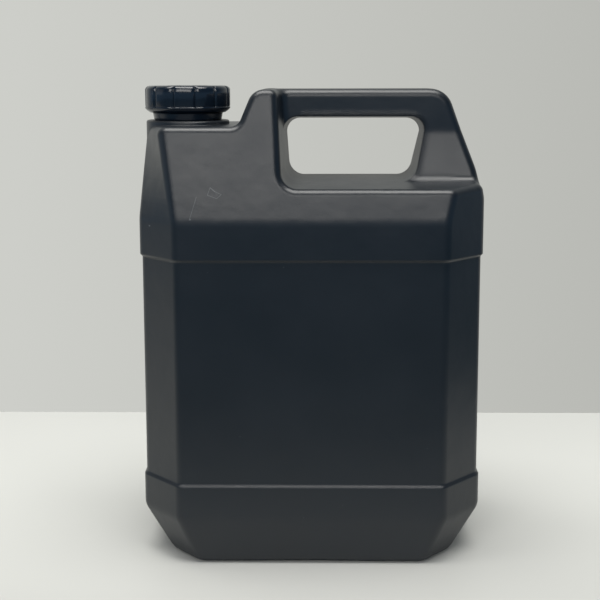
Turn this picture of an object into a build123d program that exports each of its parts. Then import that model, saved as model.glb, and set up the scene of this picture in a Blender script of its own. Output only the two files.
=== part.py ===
from build123d import *
import math
import os

# Jug body, in millimetres: X across the front, Y front to back, Z up from the ground
body_width = 190.0
body_depth = 106.0
corner_cut = 22.0
corner_radius = 6.5
body_wall = 1.3

# Heights of the body, each one above the last
base_height = 26.0
low_band_height = 19.0
label_height = 125.0
high_band_height = 21.0
shoulder_rise = 50.0
step_rise = 20.0
lower_ledge = base_height + low_band_height
upper_ledge = lower_ledge + label_height
bend_height = upper_ledge + high_band_height
shoulder_height = bend_height + shoulder_rise
handle_top = shoulder_height + step_rise

# Slopes of the body, in millimetres for each millimetre of height
panel_lean = 0.24
foot_panel_taper = 0.08
foot_side_taper = 0.67
foot_panel_narrowing = 0.44
foot_side_narrowing = 0.15
side_bend_rise = 10.5
side_bend_height = bend_height + side_bend_rise
side_lean = 0.2
leg_lean = 0.166

# Small forms of the body
label_recess = 1.2
ledge_rise = 1.6
bend_softness = 2.4
side_bend_softness = 1.6
leg_bend_softness = 3.0
foot_radius = 4.0
contour_radius = 4.5

# Left corners of the upper body, which lean round towards the neck
neck_corner_inset = 9.5
neck_side_inset = 1.8
neck_side_half_width = 2.0

# Step from the shoulder up to the handle
step_foot = -39.6
step_run = 8.2
step_foot_radius = 6.0
step_top_radius = 9.0
leg_top_radius = 13.0

# Hand hole, and the pockets in front of and behind the handle
deck_rise = 21.2
deck_height = bend_height + deck_rise
deck_clearance = 0.8
leg_foot = deck_height + deck_clearance
hole_height = 32.3
hole_top = deck_height + hole_height
hole_left_low = -12.0
hole_left_high = -14.3
hole_right_low = 56.0
hole_right_high = 63.5
hole_low_radius = 9.0
hole_high_radius = 7.5
mould_draft = 5.0
bar_half_depth = 15.0
flare_drop = 7.5
flare_height = hole_top - flare_drop
flare_slope = 0.28
flare_radius = 8.0
pocket_back_radius = 5.0

# How far the open spaces around the handle are cut past the body
cut_reach = 30.0

# Ground arch: the middle of the base lifts clear between the two feet
base_arch_width = 112.0
base_arch_height = 2.0

# Neck, on its own upright axis
neck_axis = -70.5
pedestal_radius = 23.6
pedestal_rise = 2.5
pedestal_root = 22.0
pedestal_top = shoulder_height + pedestal_rise
pedestal_foot = shoulder_height - pedestal_root
pedestal_rounding = 1.2
neck_radius = 18.2
neck_bore_radius = 16.0
neck_height = 14.9
neck_top = pedestal_top + neck_height
neck_lip_rounding = 0.6
bead_radius = 19.4
bead_rise = 4.4
bead_height = 1.4
bead_bottom = pedestal_top + bead_rise

# Tamper ring that stays under the bead when the cap comes off
ring_clearance = 0.3
ring_top_radius = 19.9
ring_bottom_radius = 19.2
ring_inner_radius = neck_radius + ring_clearance
ring_bottom = pedestal_top + ring_clearance
ring_top = bead_bottom - ring_clearance

# Screw cap
cap_ring_gap = 0.2
cap_bottom = ring_top + cap_ring_gap
cap_radius = 24.35
cap_rim_radius = 21.6
cap_bevel_height = 1.3
cap_skirt_radius = 20.6
cap_plate = 2.6
cap_recess_radius = 11.4
cap_recess_depth = 8.0
cap_recess_wall = 1.5
cap_groove_count = 12
cap_groove_width = 1.8
cap_groove_depth = 0.9
cap_groove_turn = 3.0

# Sealing ring between the neck's lip and the cap
seal_thickness = 1.6
seal_gap = 0.15
seal_side_gap = 0.3


def ramp(height, start, softness=bend_softness):
    """Zero below start, one for one above it, with a rounded bend between."""
    past = height - start
    if past <= -softness:
        return 0.0
    if past >= softness:
        return past
    return (past + softness) ** 2 / (4 * softness)


def smooth_step(height, middle, rise):
    """From 0 to 1 over a rise about the middle height."""
    share = min(max((height - middle) / rise + 0.5, 0.0), 1.0)
    return share * share * (3 - 2 * share)


def recess_depth(height):
    above_lower = smooth_step(height, lower_ledge, ledge_rise)
    above_upper = smooth_step(height, upper_ledge, ledge_rise)
    return label_recess * (above_lower - above_upper)


def foot_inset(height, radius):
    """How far the rounded bottom edge draws in at a height above the bottom."""
    if height >= radius:
        return 0.0
    return radius - math.sqrt(radius ** 2 - (radius - height) ** 2)


def corners(height):
    """The eight plan corners of the body at one height."""
    below = ramp(-height, -base_height)
    lean = ramp(height, bend_height)
    turned = min(lean / (shoulder_height - bend_height), 1.0)
    diagonal = body_width / 2 + body_depth / 2 - corner_cut
    front = body_depth / 2 - panel_lean * lean - foot_panel_taper * below
    right = body_width / 2 - foot_side_taper * below
    right -= side_lean * ramp(height, side_bend_height, side_bend_softness)
    right -= leg_lean * ramp(height, leg_foot + leg_bend_softness, leg_bend_softness)
    left = -body_width / 2 + foot_side_taper * below + neck_side_inset * turned
    panel_half = body_width / 2 - corner_cut - foot_panel_narrowing * below
    side_half = body_depth / 2 - corner_cut + foot_side_narrowing * below
    panel_left = -panel_half - neck_corner_inset * turned
    side_left = side_half + (neck_side_half_width - side_half) * turned
    if below > 0:
        panel_right = panel_half
        side_right = side_half
    elif height <= leg_foot:
        panel_right = diagonal - front
        side_right = diagonal - right
    else:
        panel_right = right - 2 * corner_radius
        side_right = front - 2 * corner_radius
    return [
        (panel_left, -front), (panel_right, -front), (right, -side_right), (right, side_right),
        (panel_right, front), (panel_left, front), (left, side_left), (left, -side_left),
    ]


def section(height, inset):
    outline = make_face(Polyline(*corners(height), close=True))
    drawn_in = inset + recess_depth(height) + foot_inset(height - inset, foot_radius - inset)
    if drawn_in > 0:
        outline = offset(outline, -drawn_in, kind=Kind.INTERSECTION)
    rounded = fillet(outline.vertices(), corner_radius - inset)
    return Pos(0, 0, height) * rounded


def bend_stations(middle, reach):
    return [middle + reach * share for share in (-1.0, -0.5, 0.0, 0.5, 1.0)]


def trunk(inset):
    """The blown body before the neck step and the hand hole are taken out of its top."""
    foot = [(foot_radius - inset) * (1 - math.cos(math.radians(turn))) for turn in (0, 25, 45, 65, 90)]
    heights = [inset + height for height in foot]
    heights += bend_stations(base_height, bend_softness)
    heights += bend_stations(lower_ledge, ledge_rise / 2)
    heights += bend_stations(upper_ledge, ledge_rise / 2)
    heights += bend_stations(bend_height, bend_softness)
    heights += bend_stations(side_bend_height, side_bend_softness)
    heights += [leg_foot + leg_bend_softness * share for share in (0, 0.5, 1, 1.5, 2)]
    heights += [shoulder_height, handle_top - inset]
    return loft([section(height, inset) for height in heights], ruled=True)


def face_xz(points):
    return make_face(Polyline(*[(x, 0, z) for x, z in points], close=True))


def near(edges, x=None, y=None, z=None, reach=0.5):
    """The edges whose middles lie near the planes given."""
    found = ShapeList()
    for edge in edges:
        middle = edge.position_at(0.5)
        pairs = [(middle.X, x), (middle.Y, y), (middle.Z, z)]
        if all(want is None or abs(have - want) < reach for have, want in pairs):
            found.append(edge)
    return found


def step_cutter(grow):
    """What is open above the shoulder, left of the handle."""
    lean = step_run / step_rise
    above = step_rise + cut_reach
    outline = face_xz([
        (-body_width, shoulder_height), (step_foot, shoulder_height),
        (step_foot + lean * above, shoulder_height + above), (-body_width, shoulder_height + above),
    ])
    outline = offset(outline, grow, kind=Kind.INTERSECTION) if grow else outline
    block = extrude(outline, amount=body_depth, both=True)
    foot = near(block.edges(), x=step_foot - grow, y=0, z=shoulder_height - grow, reach=3 * body_wall)
    return fillet(foot, step_foot_radius + grow)


def distance_to_ends(edge, point):
    return min((edge.position_at(end) - point).length for end in (0, 1))


def drafted(points, grow, roundings):
    """A cutter that runs forwards from the parting plane, widening with the mould's draft."""
    outline = face_xz(points)
    outline = offset(outline, grow, kind=Kind.INTERSECTION) if grow else outline
    block = extrude(outline, amount=body_depth, dir=(0, -1, 0))
    sides = [face for face in block.faces() if abs(face.normal_at().Y) < 0.5]
    block = draft(sides, Plane(origin=(0, 0, 0), z_dir=(0, -1, 0)), -mould_draft)
    for point, radius in roundings:
        corner = Vector(point[0], 0, point[1])
        lengthwise = [edge for edge in block.edges() if 1 < abs(edge.center().Y) < body_depth - 1]
        closest = min(lengthwise, key=lambda edge: distance_to_ends(edge, corner))
        block = fillet(closest, radius + grow)
    return block


def hole_left(height):
    share = (height - deck_height) / (hole_top - deck_height)
    return hole_left_low + (hole_left_high - hole_left_low) * share


def hand_hole(grow):
    points = [
        (hole_left_low, deck_height), (hole_right_low, deck_height),
        (hole_right_high, hole_top), (hole_left_high, hole_top),
    ]
    radii = [hole_low_radius, hole_low_radius, hole_high_radius, hole_high_radius]
    return drafted(points, grow, zip(points, radii))


def front_pocket(grow):
    """The open space in front of the handle, down to the deck."""
    far_right = body_width
    far_up = handle_top + cut_reach
    corner = (hole_left_low, deck_height)
    points = [corner, (far_right, deck_height), (far_right, far_up), (hole_left(far_up), far_up)]
    block = drafted(points, grow, [(corner, hole_low_radius)])
    bar_front = -(bar_half_depth - grow)
    foot_front = bar_front - flare_slope * (flare_height - bend_height)
    past_top = far_up + cut_reach
    zone = make_face(Polyline(
        (0, bar_front, past_top), (0, bar_front, flare_height), (0, foot_front, bend_height),
        (0, -2 * body_depth, bend_height), (0, -2 * body_depth, past_top), close=True))
    flare = Vector(0, bar_front, flare_height)
    crease = min(zone.vertices(), key=lambda vertex: (vertex.center() - flare).length)
    zone = fillet(crease, flare_radius + grow)
    block = block & extrude(zone, amount=2 * body_width, both=True)
    inner_edges = [edge for edge in block.edges() if edge.center().Y > foot_front - 2]
    back_edges = [edge for edge in inner_edges if edge.center().X < 0
                  and abs(edge.center().Y - bar_front) < 1.5 and edge.center().Z < far_up - 5]
    foot_edges = [edge for edge in inner_edges if edge.length > body_depth / 2
                  and edge.center().Y < bar_front - 4 and edge.center().Z < deck_height + 3]
    corner_edges = [edge for edge in inner_edges if edge.geom_type == GeomType.ELLIPSE
                    and edge.center().Y > foot_front and edge.center().X < 0]
    return fillet(back_edges + foot_edges + corner_edges, pocket_back_radius + grow)


def contour_edges(body, top):
    """The outer edges round the sloped panels and the handle's top."""
    panels = [face for face in body.faces() if abs(face.normal_at().Y) > 0.9 and face.area > 2000
              and face.center().Z > bend_height + 5]
    edges = []
    for panel in panels:
        edges += [edge for edge in panel.edges() if edge.center().Z > bend_height + 8
                  and abs(edge.center().X) < body_width / 2 - corner_cut - corner_radius]
    flats = [face for face in body.faces() if abs(face.center().Z - top) < 0.01]
    for flat in flats:
        edges += [edge for edge in flat.edges() if abs(edge.center().Y) > 5]
    return list(dict.fromkeys(edges))


def blown_form(inset):
    """The body's outer skin at inset 0, and its inner skin at the wall thickness."""
    top = handle_top - inset
    body = (trunk(inset) - step_cutter(inset)).clean()
    step_tops = [edge for edge in near(body.edges(), y=0, z=top) if edge.center().X < 0]
    body = fillet(step_tops, step_top_radius - inset)
    hole = hand_hole(inset)
    pocket = front_pocket(inset)
    body = body - (hole + mirror(hole, Plane.XZ))
    body = body - pocket - mirror(pocket, Plane.XZ)
    body = body.clean()
    leg_tops = [edge for edge in near(body.edges(), y=0, z=top, reach=0.1) if edge.center().X > 0]
    body = fillet(leg_tops, leg_top_radius - inset)
    return fillet(contour_edges(body, top), contour_radius - inset)


def base_arch(grow):
    """The hollow under the base, which runs from the front to the back."""
    half = base_arch_width / 2
    arc = ThreePointArc((-half, 0, 0), (0, 0, base_arch_height), (half, 0, 0))
    below = Polyline((half, 0, 0), (half, 0, -body_depth), (-half, 0, -body_depth), (-half, 0, 0))
    outline = make_face(Wire([arc] + list(below.edges())))
    outline = offset(outline, grow, kind=Kind.INTERSECTION) if grow else outline
    return extrude(outline, amount=body_depth, both=True)


def upright(radius, bottom, top):
    """A cylinder on the neck's axis."""
    return Pos(neck_axis, 0, (bottom + top) / 2) * Cylinder(radius, top - bottom)


def circles_at(shape, height):
    return [edge for edge in shape.edges() if edge.geom_type == GeomType.CIRCLE
            and abs(edge.center().Z - height) < 0.01]


def neck_outside():
    pedestal = upright(pedestal_radius, pedestal_foot, pedestal_top)
    pedestal = fillet(circles_at(pedestal, pedestal_top), pedestal_rounding)
    neck = upright(neck_radius, pedestal_foot, neck_top)
    neck = fillet(circles_at(neck, neck_top), neck_lip_rounding)
    bead = upright(bead_radius, bead_bottom, bead_bottom + bead_height)
    bead = chamfer(circles_at(bead, bead_bottom + bead_height), bead_height / 2)
    return pedestal + neck + bead


def neck_inside():
    chamber = upright(pedestal_radius - body_wall, pedestal_foot, pedestal_top - body_wall)
    bore = upright(neck_bore_radius, pedestal_foot, neck_top + 1)
    return chamber + bore


def make_jug_body():
    outside = blown_form(0) - base_arch(0) + neck_outside()
    inside = blown_form(body_wall) - base_arch(body_wall) + neck_inside()
    return outside - inside


def turned(points):
    """A solid of revolution on the neck's axis from (radius, height) points."""
    outline = make_face(Polyline(*[(radius, 0, height) for radius, height in points], close=True))
    return Pos(neck_axis, 0, 0) * revolve(outline, Axis.Z, 360)


def make_tamper_ring():
    return turned([
        (ring_inner_radius, ring_bottom), (ring_bottom_radius, ring_bottom),
        (ring_top_radius, ring_top), (ring_inner_radius, ring_top),
    ])


def make_sealing_ring():
    bottom = neck_top + seal_gap
    inner = cap_recess_radius + cap_recess_wall + seal_side_gap
    outer = cap_skirt_radius - seal_side_gap
    top = bottom + seal_thickness
    return turned([(inner, bottom), (outer, bottom), (outer, top), (inner, top)])


def make_screw_cap():
    underside = neck_top + seal_gap + seal_thickness + seal_gap
    top = underside + cap_plate
    floor = top - cap_recess_depth
    plug_radius = cap_recess_radius + cap_recess_wall
    cap = turned([
        (0, floor), (cap_recess_radius, floor), (cap_recess_radius, top), (cap_rim_radius, top),
        (cap_radius, top - cap_bevel_height), (cap_radius, cap_bottom), (cap_skirt_radius, cap_bottom),
        (cap_skirt_radius, underside), (plug_radius, underside), (plug_radius, floor - cap_recess_wall),
        (0, floor - cap_recess_wall),
    ])
    groove_height = top - cap_bevel_height / 2 - cap_bottom
    groove = Pos(cap_radius, 0, cap_bottom + groove_height / 2) * Box(
        2 * cap_groove_depth, cap_groove_width, groove_height)
    for count in range(cap_groove_count):
        turn = cap_groove_turn - 90 + 360 * count / cap_groove_count
        cap = cap - Pos(neck_axis, 0, 0) * Rot(0, 0, turn) * groove
    return cap


parts = {
    "jug_body": make_jug_body(),
    "tamper_ring": make_tamper_ring(),
    "sealing_ring": make_sealing_ring(),
    "screw_cap": make_screw_cap(),
}
os.makedirs("parts", exist_ok=True)
for name, solid in parts.items():
    export_step(solid, "parts/" + name + ".step")
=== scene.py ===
import math

import bmesh
import bpy
from mathutils import Matrix, Vector


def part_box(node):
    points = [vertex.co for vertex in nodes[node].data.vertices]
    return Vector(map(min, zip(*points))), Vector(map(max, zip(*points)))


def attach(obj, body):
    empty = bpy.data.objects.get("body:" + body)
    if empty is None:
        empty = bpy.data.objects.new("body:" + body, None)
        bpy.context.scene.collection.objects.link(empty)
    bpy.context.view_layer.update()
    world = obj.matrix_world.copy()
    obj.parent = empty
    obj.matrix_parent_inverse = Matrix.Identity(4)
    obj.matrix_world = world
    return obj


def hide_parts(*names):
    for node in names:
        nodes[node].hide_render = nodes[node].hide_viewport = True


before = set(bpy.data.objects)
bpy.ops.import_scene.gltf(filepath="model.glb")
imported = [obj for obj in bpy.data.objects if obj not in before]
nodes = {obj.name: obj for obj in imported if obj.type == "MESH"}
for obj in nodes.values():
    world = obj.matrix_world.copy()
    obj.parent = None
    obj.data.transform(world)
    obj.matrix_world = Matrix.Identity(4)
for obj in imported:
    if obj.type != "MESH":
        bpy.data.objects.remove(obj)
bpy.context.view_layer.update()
print("frame loaded:", ", ".join(sorted(nodes)))

mm = 0.001
scene = bpy.context.scene


# one colour as it is written on screen, turned to the linear value that a shader takes
def hexColour(text):
    shares = [int(text[i:i + 2], 16) / 255 for i in (1, 3, 5)]
    linear = [s / 12.92 if s <= 0.04045 else ((s + 0.055) / 1.055) ** 2.4 for s in shares]
    return (*linear, 1.0)


# a pattern's scale from the real size of its features, in millimetres
def scaleFor(size):
    return 1 / (size * mm)


def metres(lengths):
    return [length * mm for length in lengths]


# adds a node, sets its values and joins its sockets: a link is (node, output), anything else is a value
# (a Mix node of colours has its share at input 0, its colours at 6 and 7 and the result at output 2)
def addNode(tree, kind, settings=None, inputs=None):
    node = tree.nodes.new(kind)
    for name, value in (settings or {}).items():
        setattr(node, name, value)
    for socket, value in (inputs or {}).items():
        if isinstance(value, tuple) and isinstance(value[0], bpy.types.Node):
            tree.links.new(value[0].outputs[value[1]], node.inputs[socket])
        else:
            node.inputs[socket].default_value = value
    return node


def newMaterial(name):
    material = bpy.data.materials.new(name)
    material.use_nodes = True
    tree = material.node_tree
    tree.nodes.clear()
    shader = addNode(tree, "ShaderNodeBsdfPrincipled")
    addNode(tree, "ShaderNodeOutputMaterial", None, {"Surface": (shader, "BSDF")})
    coords = addNode(tree, "ShaderNodeTexCoord")
    return material, tree, shader, coords


# where all limits hold: each is a value, where it counts in full and where it no longer counts
def softMask(tree, *limits):
    mask = None
    for value, full, none in limits:
        edge = addNode(tree, "ShaderNodeMapRange", {"interpolation_type": "SMOOTHSTEP"}, {
            "Value": value, "From Min": full, "From Max": none, "To Min": 1.0, "To Max": 0.0})
        if mask:
            edge = addNode(tree, "ShaderNodeMath", {"operation": "MULTIPLY"}, {0: (mask, 0), 1: (edge, 0)})
        mask = edge
    return mask


# a short straight mark on the front, given by its two ends in X and Z millimetres
def stroke(tree, flat, start, end, halfWidth):
    core = 0.4    # share of the width that is fully marked
    foot = Vector((start[0] * mm, 0, start[1] * mm))
    along = Vector((end[0] * mm, 0, end[1] * mm)) - foot
    length = along.length
    along.normalize()
    away = addNode(tree, "ShaderNodeVectorMath", {"operation": "SUBTRACT"}, {0: (flat, 0), 1: foot})
    share = addNode(tree, "ShaderNodeVectorMath", {"operation": "DOT_PRODUCT"}, {0: (away, 0), 1: along})
    held = addNode(tree, "ShaderNodeClamp", None, {"Value": (share, "Value"), "Min": 0.0, "Max": length})
    nearest = addNode(tree, "ShaderNodeVectorMath", {"operation": "SCALE"}, {0: along, "Scale": (held, 0)})
    rest = addNode(tree, "ShaderNodeVectorMath", {"operation": "DISTANCE"}, {0: (away, 0), 1: (nearest, 0)})
    return softMask(tree, ((rest, "Value"), halfWidth * mm * core, halfWidth * mm))


# lengths in millimetres, colours as they look on screen
# an Edge, or a rim's side, is where its mask is full and where it ends
body = {
    "dark": "#0c1319",
    "light": "#111921",
    "roughness": (0.32, 0.40),
    "ior": 1.54,
    "mottle": 45.0,        # drift in colour and gloss
    "speckSpacing": 11.0,  # dust grains
    "speckEdge": (0.012, 0.024),    # shares of the spacing
    "speckShare": 0.45,    # share of the cells that stay clean
    "speckStrength": 0.30,
    "wearColour": "#8f9193",
    "wearRoughness": 0.25,
    "frontEdge": (-14.0, -12.0),    # the marks are on the front only
    "scratches": [((-61.0, 204.4), (-64.7, 192.2), 0.13), ((-53.7, 209.3), (-51.2, 207.2), 0.24),
                  ((-51.2, 207.2), (-47.7, 205.7), 0.13), ((-47.7, 205.7), (-50.2, 203.6), 0.12),
                  ((-50.2, 203.6), (-55.2, 205.4), 0.13), ((-55.2, 205.4), (-53.7, 209.3), 0.12)],
    "dots": [(-88.2, 187.4, 0.55), (-64.2, 192.7, 0.4)],
    "dotLength": 0.2,
    "scratchStrength": 0.42,
    "scuff": (-51.8, 206.4, 4.2),
    "scuffCore": 0.3,
    "scuffGrain": 1.6,
    "scuffRange": (0.45, 0.80),
    "scuffStrength": 0.10,
    "edgeSoftness": 1.1,   # small radius on every moulded edge
    "rimSoftness": 4.5,    # larger radius where a hand goes round the handle
    "rimDepth": (32.0, 39.0),
    "rimBottom": (211.0, 206.0),
    "rimTop": (250.0, 253.5),
    "rimLeft": (-2.0, -10.0),
    "rimRight": (76.0, 84.0),
    "ripple": 14.0,        # slow waves of a blown wall
    "rippleHeight": 1.1,
    "rippleStrength": 0.22,
    "partingWidth": 0.45,  # half width of the line where the mould's halves meet
    "partingCore": 0.3,
    "partingHeight": 0.35,
    "partingStrength": 0.8,
    "grain": 0.7,          # fine grain of the mould's blasted wall
    "grainHeight": 0.06,
    "grainStrength": 0.45,
}
noiseLow, noiseHigh = 0.3, 0.7    # where most of a noise texture's values lie
bevelSamples = 6


# scratches, a scuff and dots on the front's left slope
def wearMarks(tree, axes, place, v):
    flat = addNode(tree, "ShaderNodeCombineXYZ", None, {"X": (axes, "X"), "Z": (axes, "Z")})
    marks = [stroke(tree, flat, start, end, width) for start, end, width in v["scratches"]]
    marks += [stroke(tree, flat, (x, z), (x + v["dotLength"], z), size) for x, z, size in v["dots"]]
    lines = marks[0]
    for mark in marks[1:]:
        lines = addNode(tree, "ShaderNodeMath", {"operation": "MAXIMUM"}, {0: (lines, 0), 1: (mark, 0)})
    lines = addNode(tree, "ShaderNodeMath", {"operation": "MULTIPLY"}, {
        0: (lines, 0), 1: v["scratchStrength"]})

    x, z, size = v["scuff"]
    around = addNode(tree, "ShaderNodeVectorMath", {"operation": "DISTANCE"}, {
        0: (flat, 0), 1: Vector((x * mm, 0, z * mm))})
    patch = softMask(tree, ((around, "Value"), size * mm * v["scuffCore"], size * mm))
    grit = addNode(tree, "ShaderNodeTexNoise", None, {
        "Vector": place, "Scale": scaleFor(v["scuffGrain"]), "Detail": 5.0})
    low, high = v["scuffRange"]
    rubbed = addNode(tree, "ShaderNodeMapRange", None, {
        "Value": (grit, 0), "From Min": low, "From Max": high, "To Min": 0.0, "To Max": v["scuffStrength"]})
    scuffed = addNode(tree, "ShaderNodeMath", {"operation": "MULTIPLY"}, {0: (patch, 0), 1: (rubbed, 0)})

    full, none = metres(v["frontEdge"])
    front = addNode(tree, "ShaderNodeMapRange", None, {
        "Value": (axes, "Y"), "From Min": none, "From Max": full, "To Min": 0.0, "To Max": 1.0})
    either = addNode(tree, "ShaderNodeMath", {"operation": "MAXIMUM"}, {0: (lines, 0), 1: (scuffed, 0)})
    return addNode(tree, "ShaderNodeMath", {"operation": "MULTIPLY"}, {0: (either, 0), 1: (front, 0)})


# high-density polyethylene, blow-moulded and filled black: satin, a little waxy, with soft wide highlights
def makeBodyPlastic(v):
    material, tree, shader, coords = newMaterial("blowMouldedPolyethylene")
    place = (coords, "Object")
    axes = addNode(tree, "ShaderNodeSeparateXYZ", None, {0: place})
    mottle = addNode(tree, "ShaderNodeTexNoise", None, {
        "Vector": place, "Scale": scaleFor(v["mottle"]), "Detail": 4.0, "Roughness": 0.6})
    clean = addNode(tree, "ShaderNodeMix", {"data_type": "RGBA"}, {
        0: (mottle, 0), 6: hexColour(v["dark"]), 7: hexColour(v["light"])})

    dust = addNode(tree, "ShaderNodeTexVoronoi", None, {
        "Vector": place, "Scale": scaleFor(v["speckSpacing"])})
    specks = softMask(tree, ((dust, "Distance"), *v["speckEdge"]))
    pick = addNode(tree, "ShaderNodeSeparateXYZ", None, {0: (dust, "Color")})
    kept = addNode(tree, "ShaderNodeMath", {"operation": "GREATER_THAN"}, {
        0: (pick, "X"), 1: v["speckShare"]})
    specks = addNode(tree, "ShaderNodeMath", {"operation": "MULTIPLY"}, {0: (specks, 0), 1: (kept, 0)})
    specks = addNode(tree, "ShaderNodeMath", {"operation": "MULTIPLY"}, {
        0: (specks, 0), 1: v["speckStrength"]})
    worn = addNode(tree, "ShaderNodeMath", {"operation": "MAXIMUM"}, {
        0: (wearMarks(tree, axes, place, v), 0), 1: (specks, 0)})
    colour = addNode(tree, "ShaderNodeMix", {"data_type": "RGBA"}, {
        0: (worn, 0), 6: (clean, 2), 7: hexColour(v["wearColour"])})
    tree.links.new(colour.outputs[2], shader.inputs["Base Color"])

    low, high = v["roughness"]
    rough = addNode(tree, "ShaderNodeMapRange", None, {
        "Value": (mottle, 0), "From Min": noiseLow, "From Max": noiseHigh, "To Min": low, "To Max": high})
    rubbed = addNode(tree, "ShaderNodeMath", {"operation": "MULTIPLY"}, {
        0: (worn, 0), 1: v["wearRoughness"]})
    rough = addNode(tree, "ShaderNodeMath", {"operation": "ADD"}, {0: (rough, 0), 1: (rubbed, 0)})
    tree.links.new(rough.outputs[0], shader.inputs["Roughness"])
    shader.inputs["IOR"].default_value = v["ior"]

    # the moulded edges' small radii, larger on the handle's inner rims
    depth = addNode(tree, "ShaderNodeMath", {"operation": "ABSOLUTE"}, {0: (axes, "Y")})
    rims = softMask(tree,
                    ((depth, 0), *metres(v["rimDepth"])),
                    ((axes, "Z"), *metres(v["rimBottom"])),
                    ((axes, "Z"), *metres(v["rimTop"])),
                    ((axes, "X"), *metres(v["rimLeft"])),
                    ((axes, "X"), *metres(v["rimRight"])))
    radius = addNode(tree, "ShaderNodeMapRange", None, {
        "Value": (rims, 0), "To Min": v["edgeSoftness"] * mm, "To Max": v["rimSoftness"] * mm})
    softened = addNode(tree, "ShaderNodeBevel", {"samples": bevelSamples}, {"Radius": (radius, 0)})

    grain = addNode(tree, "ShaderNodeTexNoise", None, {
        "Vector": place, "Scale": scaleFor(v["grain"]), "Detail": 3.0, "Roughness": 0.7})
    ripple = addNode(tree, "ShaderNodeTexNoise", None, {
        "Vector": place, "Scale": scaleFor(v["ripple"]), "Detail": 2.0})
    halfLine = v["partingWidth"] * mm
    parting = softMask(tree, ((depth, 0), halfLine * v["partingCore"], halfLine))
    surface = softened
    for pattern, name in ((ripple, "ripple"), (parting, "parting"), (grain, "grain")):
        surface = addNode(tree, "ShaderNodeBump", None, {
            "Height": (pattern, 0), "Distance": v[name + "Height"] * mm, "Strength": v[name + "Strength"],
            "Normal": (surface, 0)})
    tree.links.new(surface.outputs[0], shader.inputs["Normal"])
    return material


cap = {
    "colour": "#121c27",
    "roughness": (0.10, 0.20),
    "ior": 1.49,
    "cloud": 9.0,          # drift in gloss
    "speckSpacing": 7.0,
    "speckEdge": (0.02, 0.035),
    "speckStrength": 0.35,
    "speckColour": "#7d7f80",
    "edgeSoftness": 0.7,
    "grain": 1.4,
    "grainHeight": 0.04,
    "grainStrength": 0.3,
}


# injection-moulded polypropylene from a polished tool: near-mirror black with small sharp highlights
def makeCapPlastic(v):
    material, tree, shader, coords = newMaterial("polishedPolypropylene")
    place = (coords, "Object")
    cloud = addNode(tree, "ShaderNodeTexNoise", None, {
        "Vector": place, "Scale": scaleFor(v["cloud"]), "Detail": 4.0})
    dust = addNode(tree, "ShaderNodeTexVoronoi", None, {
        "Vector": place, "Scale": scaleFor(v["speckSpacing"])})
    specks = softMask(tree, ((dust, "Distance"), *v["speckEdge"]))
    specks = addNode(tree, "ShaderNodeMath", {"operation": "MULTIPLY"}, {
        0: (specks, 0), 1: v["speckStrength"]})
    colour = addNode(tree, "ShaderNodeMix", {"data_type": "RGBA"}, {
        0: (specks, 0), 6: hexColour(v["colour"]), 7: hexColour(v["speckColour"])})
    tree.links.new(colour.outputs[2], shader.inputs["Base Color"])
    low, high = v["roughness"]
    rough = addNode(tree, "ShaderNodeMapRange", None, {
        "Value": (cloud, 0), "From Min": noiseLow, "From Max": noiseHigh, "To Min": low, "To Max": high})
    tree.links.new(rough.outputs[0], shader.inputs["Roughness"])
    shader.inputs["IOR"].default_value = v["ior"]
    softened = addNode(tree, "ShaderNodeBevel", {"samples": bevelSamples}, {
        "Radius": v["edgeSoftness"] * mm})
    grain = addNode(tree, "ShaderNodeTexNoise", None, {
        "Vector": place, "Scale": scaleFor(v["grain"]), "Detail": 2.0})
    fine = addNode(tree, "ShaderNodeBump", None, {
        "Height": (grain, 0), "Distance": v["grainHeight"] * mm, "Strength": v["grainStrength"],
        "Normal": (softened, 0)})
    tree.links.new(fine.outputs[0], shader.inputs["Normal"])
    return material


liner = {
    "dark": "#c9c8c2",
    "light": "#dcdbd6",
    "roughness": 0.85,
    "cell": 0.5,
    "pitDepth": 0.1,
    "pitStrength": 0.6,
}


# cross-linked polyethylene foam: matt, pale, with tiny cells
def makeLinerFoam(v):
    material, tree, shader, coords = newMaterial("linerFoam")
    cells = addNode(tree, "ShaderNodeTexVoronoi", None, {
        "Vector": (coords, "Object"), "Scale": scaleFor(v["cell"])})
    colour = addNode(tree, "ShaderNodeMix", {"data_type": "RGBA"}, {
        0: (cells, "Distance"), 6: hexColour(v["dark"]), 7: hexColour(v["light"])})
    tree.links.new(colour.outputs[2], shader.inputs["Base Color"])
    shader.inputs["Roughness"].default_value = v["roughness"]
    pits = addNode(tree, "ShaderNodeBump", None, {
        "Height": (cells, "Distance"), "Distance": v["pitDepth"] * mm, "Strength": v["pitStrength"]})
    tree.links.new(pits.outputs[0], shader.inputs["Normal"])
    return material


bodyPlastic = makeBodyPlastic(body)
capPlastic = makeCapPlastic(cap)
linerFoam = makeLinerFoam(liner)


def dress(name, material):
    slots = nodes[name].data.materials
    if not slots:
        slots.append(material)
    for i in range(len(slots)):
        slots[i] = material


dress("jug_body", bodyPlastic)
dress("screw_cap", capPlastic)
dress("tamper_ring", capPlastic)
dress("sealing_ring", linerFoam)
print("materials on")


mergeWithin = 1e-6    # metres


# puts a bmesh into an object of its own
def newPiece(name, bm, material):
    mesh = bpy.data.meshes.new(name)
    bm.to_mesh(mesh)
    bm.free()
    piece = bpy.data.objects.new(name, mesh)
    scene.collection.objects.link(piece)
    piece.data.materials.append(material)
    return piece


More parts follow.
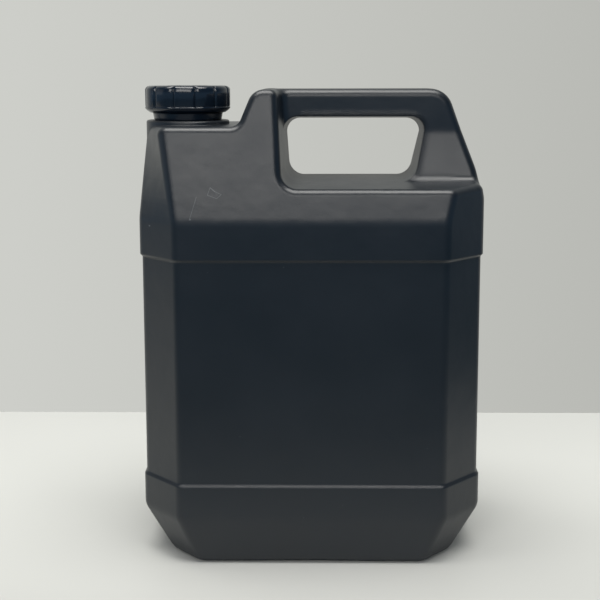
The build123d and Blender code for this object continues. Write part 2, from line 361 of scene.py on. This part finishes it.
# the screw cap's outside: crowned panels between grooves, and a lower edge that rolls in
capShell = {
    "axis": -70.5,
    "panels": 12,
    "turn": 16.5,          # degrees from the front to the nearest groove
    "stepsPerPanel": 20,
    "crown": 0.35,
    "grooveDepth": 0.85,
    "grooveHalf": 2.6,     # degrees
    "grooveLow": 3.0,      # above the cap's bottom edge
    "grooveHigh": 0.9,     # below its top
    "outerWall": 23.0,     # radius from which a point belongs to the outer wall
    "sharpFrom": 40.0,     # degrees between faces
    # radius, and height above the bottom or below the top
    "section": [
        (0, "top", -8.0), (10.7, "top", -8.0), (11.4, "top", -7.3), (11.4, "top", -0.8), (12.2, "top", 0),
        (21.3, "top", 0), (22.6, "top", -0.3), (23.6, "top", -1.0), (24.2, "top", -2.0), (24.2, "top", -5.0),
        (24.2, "bottom", 3.9), (24.0, "bottom", 3.4), (24.3, "bottom", 2.9), (24.2, "bottom", 2.3),
        (23.4, "bottom", 1.4), (22.2, "bottom", 0.5), (21.4, "bottom", 0), (20.6, "bottom", 0),
        (20.6, "top", -2.6), (12.9, "top", -2.6), (12.9, "top", -9.5), (0, "top", -9.5),
    ],
}


def makeCapShell(v):
    low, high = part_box("screw_cap")
    ends = {"bottom": low[2] / mm, "top": high[2] / mm}
    bm = bmesh.new()
    section = [bm.verts.new(((v["axis"] + r) * mm, 0, (ends[end] + h) * mm)) for r, end, h in v["section"]]
    edges = [bm.edges.new(pair) for pair in zip(section, section[1:])]
    bmesh.ops.spin(bm, geom=section + edges, cent=(v["axis"] * mm, 0, 0), axis=(0, 0, 1), dvec=(0, 0, 0),
                   angle=math.tau, steps=v["panels"] * v["stepsPerPanel"],
                   use_merge=True, use_duplicate=False)
    bmesh.ops.remove_doubles(bm, verts=bm.verts, dist=mergeWithin)
    pitch = 360 / v["panels"]
    for vert in bm.verts:
        out = Vector((vert.co.x - v["axis"] * mm, vert.co.y, 0))
        height = vert.co.z / mm
        if out.length < v["outerWall"] * mm:
            continue
        if height < ends["bottom"] + v["grooveLow"] or height > ends["top"] - v["grooveHigh"]:
            continue
        along = (math.degrees(math.atan2(out.y, out.x)) + 90 - v["turn"]) % pitch
        fromGroove = min(along, pitch - along)
        sink = v["crown"] * (1 - 2 * fromGroove / pitch) ** 2
        if fromGroove < v["grooveHalf"]:
            sink += v["grooveDepth"] * math.cos(math.pi / 2 * fromGroove / v["grooveHalf"]) ** 2
        vert.co -= out.normalized() * sink * mm
    bmesh.ops.recalc_face_normals(bm, faces=bm.faces)
    for face in bm.faces:
        face.smooth = True
    piece = newPiece("cap_shell", bm, capPlastic)
    piece.data.set_sharp_from_angle(angle=math.radians(v["sharpFrom"]))
    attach(piece, "cap")
    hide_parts("screw_cap")


makeCapShell(capShell)
print("cap shaped")


# the screw thread, outside the neck and inside the cap
thread = {
    "axis": -70.5,
    "pitch": 4.0,
    "turns": 1.5,
    "stepsPerTurn": 72,
    "neckRoot": 18.0,
    "neckCrest": 19.35,
    "neckStart": 250.9,
    "capRoot": 20.8,
    "capCrest": 19.5,
    "capStart": 249.2,
    "rootHalf": 0.95,
    "crestHalf": 0.35,
}


# one ridge: its section is spun round the neck's axis and climbs by the pitch each turn
def makeThread(name, root, crest, start, material, v):
    bm = bmesh.new()
    corners = [(root, -v["rootHalf"]), (crest, -v["crestHalf"]),
               (crest, v["crestHalf"]), (root, v["rootHalf"])]
    face = bm.faces.new([bm.verts.new(((v["axis"] + r) * mm, 0, (start + h) * mm)) for r, h in corners])
    steps = int(v["stepsPerTurn"] * v["turns"])
    made = bmesh.ops.spin(bm, geom=[face], cent=(v["axis"] * mm, 0, 0), axis=(0, 0, 1),
                          dvec=(0, 0, v["pitch"] * v["turns"] * mm / steps), angle=math.tau * v["turns"],
                          steps=steps, use_merge=False, use_duplicate=False)
    # both ends run out into the wall
    lastEnd = [part for part in made["geom_last"] if isinstance(part, bmesh.types.BMVert)]
    for vert in list(face.verts) + lastEnd:
        out = Vector((vert.co.x - v["axis"] * mm, vert.co.y, 0))
        vert.co += out.normalized() * (root * mm - out.length)
    bmesh.ops.remove_doubles(bm, verts=bm.verts, dist=mergeWithin)
    bmesh.ops.recalc_face_normals(bm, faces=bm.faces)
    if bm.calc_volume(signed=True) < 0:
        bmesh.ops.reverse_faces(bm, faces=bm.faces)
    return newPiece(name, bm, material)


neckThread = makeThread("neck_thread", thread["neckRoot"], thread["neckCrest"], thread["neckStart"],
                        bodyPlastic, thread)
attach(neckThread, "jug")
capThread = makeThread("cap_thread", thread["capRoot"], thread["capCrest"], thread["capStart"],
                       capPlastic, thread)
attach(capThread, "cap")
print("threads made")


table = {
    "back": 219.0,         # where it ends behind the jug
    "front": -1500.0,
    "halfWidth": 1500.0,
    "colour": "#d0d1cd",
    "roughness": 0.5,
    "paintedFalloffShade": 0.70,     # painted shade: how pale it is near the camera, against the back, for the lamp's light falling off
    "paintedFalloffRange": (-260.0, 60.0),
    "paintedReflectionColour": "#4c5f6c",    # painted reflection: a darker, bluer table that only the jug's reflections see, further off and to the right
    "paintedReflectionFront": (0.0, -340.0),
    "paintedReflectionRight": (240.0, 460.0),
}


# satin laminate, with painted shade that makes it darker towards the camera where the lamp's light falls
# off, and a painted reflection: the jug mirrors a darker, bluer table further off and to the right
def makeTableTop(v):
    material, tree, shader, coords = newMaterial("tableLaminatePaintedLight")
    axes = addNode(tree, "ShaderNodeSeparateXYZ", None, {0: (coords, "Object")})
    # painted shade: the table as the camera sees it darkens towards the camera, standing in for the lamp's
    # light falling off
    low, high = metres(v["paintedFalloffRange"])
    shade = addNode(tree, "ShaderNodeMapRange", {"interpolation_type": "SMOOTHSTEP"}, {
        "Value": (axes, "Y"), "From Min": low, "From Max": high,
        "To Min": v["paintedFalloffShade"], "To Max": 1.0})
    seen = addNode(tree, "ShaderNodeMix", {"data_type": "RGBA"}, {
        0: (shade, 0), 6: (0.0, 0.0, 0.0, 1.0), 7: hexColour(v["colour"])})
    # painted reflection: rays other than the camera's see the table darker and bluer further off and to the
    # right, which darkens and tints what the jug mirrors
    byTheJug = softMask(tree, ((axes, "Y"), *metres(v["paintedReflectionFront"])),
                        ((axes, "X"), *metres(v["paintedReflectionRight"])))
    paintedReflection = addNode(tree, "ShaderNodeMix", {"data_type": "RGBA"}, {
        0: (byTheJug, 0), 6: hexColour(v["paintedReflectionColour"]), 7: hexColour(v["colour"])})
    ray = addNode(tree, "ShaderNodeLightPath")
    tint = addNode(tree, "ShaderNodeMix", {"data_type": "RGBA"}, {
        0: (ray, "Is Camera Ray"), 6: (paintedReflection, 2), 7: (seen, 2)})
    tree.links.new(tint.outputs[2], shader.inputs["Base Color"])
    shader.inputs["Roughness"].default_value = v["roughness"]
    return material


def makeTable(v):
    bm = bmesh.new()
    outline = ((-v["halfWidth"], v["front"]), (v["halfWidth"], v["front"]),
               (v["halfWidth"], v["back"]), (-v["halfWidth"], v["back"]))
    bm.faces.new([bm.verts.new((x * mm, y * mm, 0)) for x, y in outline])
    newPiece("table_top", bm, makeTableTop(v))


makeTable(table)


# directions are parts of a unit vector: X right, Y back, Z up
room = {
    "wallLeft": "#cdcec9",
    "wallRight": "#b9bab5",
    "wallSpan": 0.27,
    "wallEdge": (0.75, -0.1),
    "frontColour": "#2b3a4c",
    "glowColour": "#7493b0",    # bluish daylight near the level of the eyes, in front of the jug
    "glowEdge": (0.08, 0.34),
}


# the wall behind the jug is seen as a pale ground; the room in front of it is dim
def makeRoom(v):
    world = bpy.data.worlds.new("paleRoom")
    scene.world = world
    world.use_nodes = True
    tree = world.node_tree
    tree.nodes.clear()
    coords = addNode(tree, "ShaderNodeTexCoord")
    axes = addNode(tree, "ShaderNodeSeparateXYZ", None, {0: (coords, "Generated")})
    across = addNode(tree, "ShaderNodeMapRange", None, {
        "Value": (axes, "X"), "From Min": -v["wallSpan"], "From Max": v["wallSpan"]})
    wall = addNode(tree, "ShaderNodeMix", {"data_type": "RGBA"}, {
        0: (across, 0), 6: hexColour(v["wallLeft"]), 7: hexColour(v["wallRight"])})
    behind = softMask(tree, ((axes, "Y"), *v["wallEdge"]))
    tilt = addNode(tree, "ShaderNodeMath", {"operation": "ABSOLUTE"}, {0: (axes, "Z")})
    glow = softMask(tree, ((tilt, 0), *v["glowEdge"]))
    front = addNode(tree, "ShaderNodeMix", {"data_type": "RGBA"}, {
        0: (glow, 0), 6: hexColour(v["frontColour"]), 7: hexColour(v["glowColour"])})
    around = addNode(tree, "ShaderNodeMix", {"data_type": "RGBA"}, {
        0: (behind, 0), 6: (front, 2), 7: (wall, 2)})
    ray = addNode(tree, "ShaderNodeLightPath")
    seen = addNode(tree, "ShaderNodeMix", {"data_type": "RGBA"}, {
        0: (ray, "Is Camera Ray"), 6: (around, 2), 7: (wall, 2)})
    ground = addNode(tree, "ShaderNodeBackground", None, {"Color": (seen, 2), "Strength": 1.0})
    addNode(tree, "ShaderNodeOutputWorld", None, {"Surface": (ground, 0)})


makeRoom(room)


lampColour = "#fffdf9"
lamps = {
    "overhead": {"place": (-30, -120, 1400), "aim": (0, 0, 100), "size": (1300, 700), "watts": 23.5},
    "frontHigh": {"place": (-200, -1500, 1000), "aim": (0, 0, 200), "size": (1700, 460), "watts": 12.5},
    "window": {"place": (-1500, -300, 600), "aim": (0, 0, 150), "size": (800, 700), "watts": 0.7},
}


def aimed(place, aim):
    direction = Vector([a - p for a, p in zip(aim, place)])
    turned = direction.to_track_quat("-Z", "Y").to_matrix().to_4x4()
    return Matrix.Translation(Vector(place) * mm) @ turned


for name, v in lamps.items():
    light = bpy.data.lights.new(name, "AREA")
    light.shape = "RECTANGLE"
    light.size, light.size_y = metres(v["size"])
    light.energy = v["watts"]
    light.color = hexColour(lampColour)[:3]
    lamp = bpy.data.objects.new(name, light)
    lamp.matrix_world = aimed(v["place"], v["aim"])
    scene.collection.objects.link(lamp)


# place in millimetres, angles in radians
view = {
    "lens": 64.33,
    "sensor": 36,
    "shift": -0.13,
    "nearest": 0.01,       # metres
    "farthest": 20,
    "place": (-6.55, -615.5, 267.6),
    "pitch": 0.1345,
    "roll": -0.0021,
    "turn": 0.0131,
}
lens = bpy.data.cameras.new("camera")
lens.lens = view["lens"]
lens.sensor_width = view["sensor"]
lens.shift_y = view["shift"]
lens.clip_start = view["nearest"]
lens.clip_end = view["farthest"]
camera = bpy.data.objects.new("camera", lens)
camera.matrix_world = (Matrix.Rotation(view["turn"], 4, "Z") @ Matrix.Translation(Vector(view["place"]) * mm)
                       @ Matrix.Rotation(math.pi / 2 - view["pitch"], 4, "X")
                       @ Matrix.Rotation(view["roll"], 4, "Z"))
scene.collection.objects.link(camera)
scene.camera = camera
scene.view_settings.view_transform = "Standard"
print("room, light and camera set")
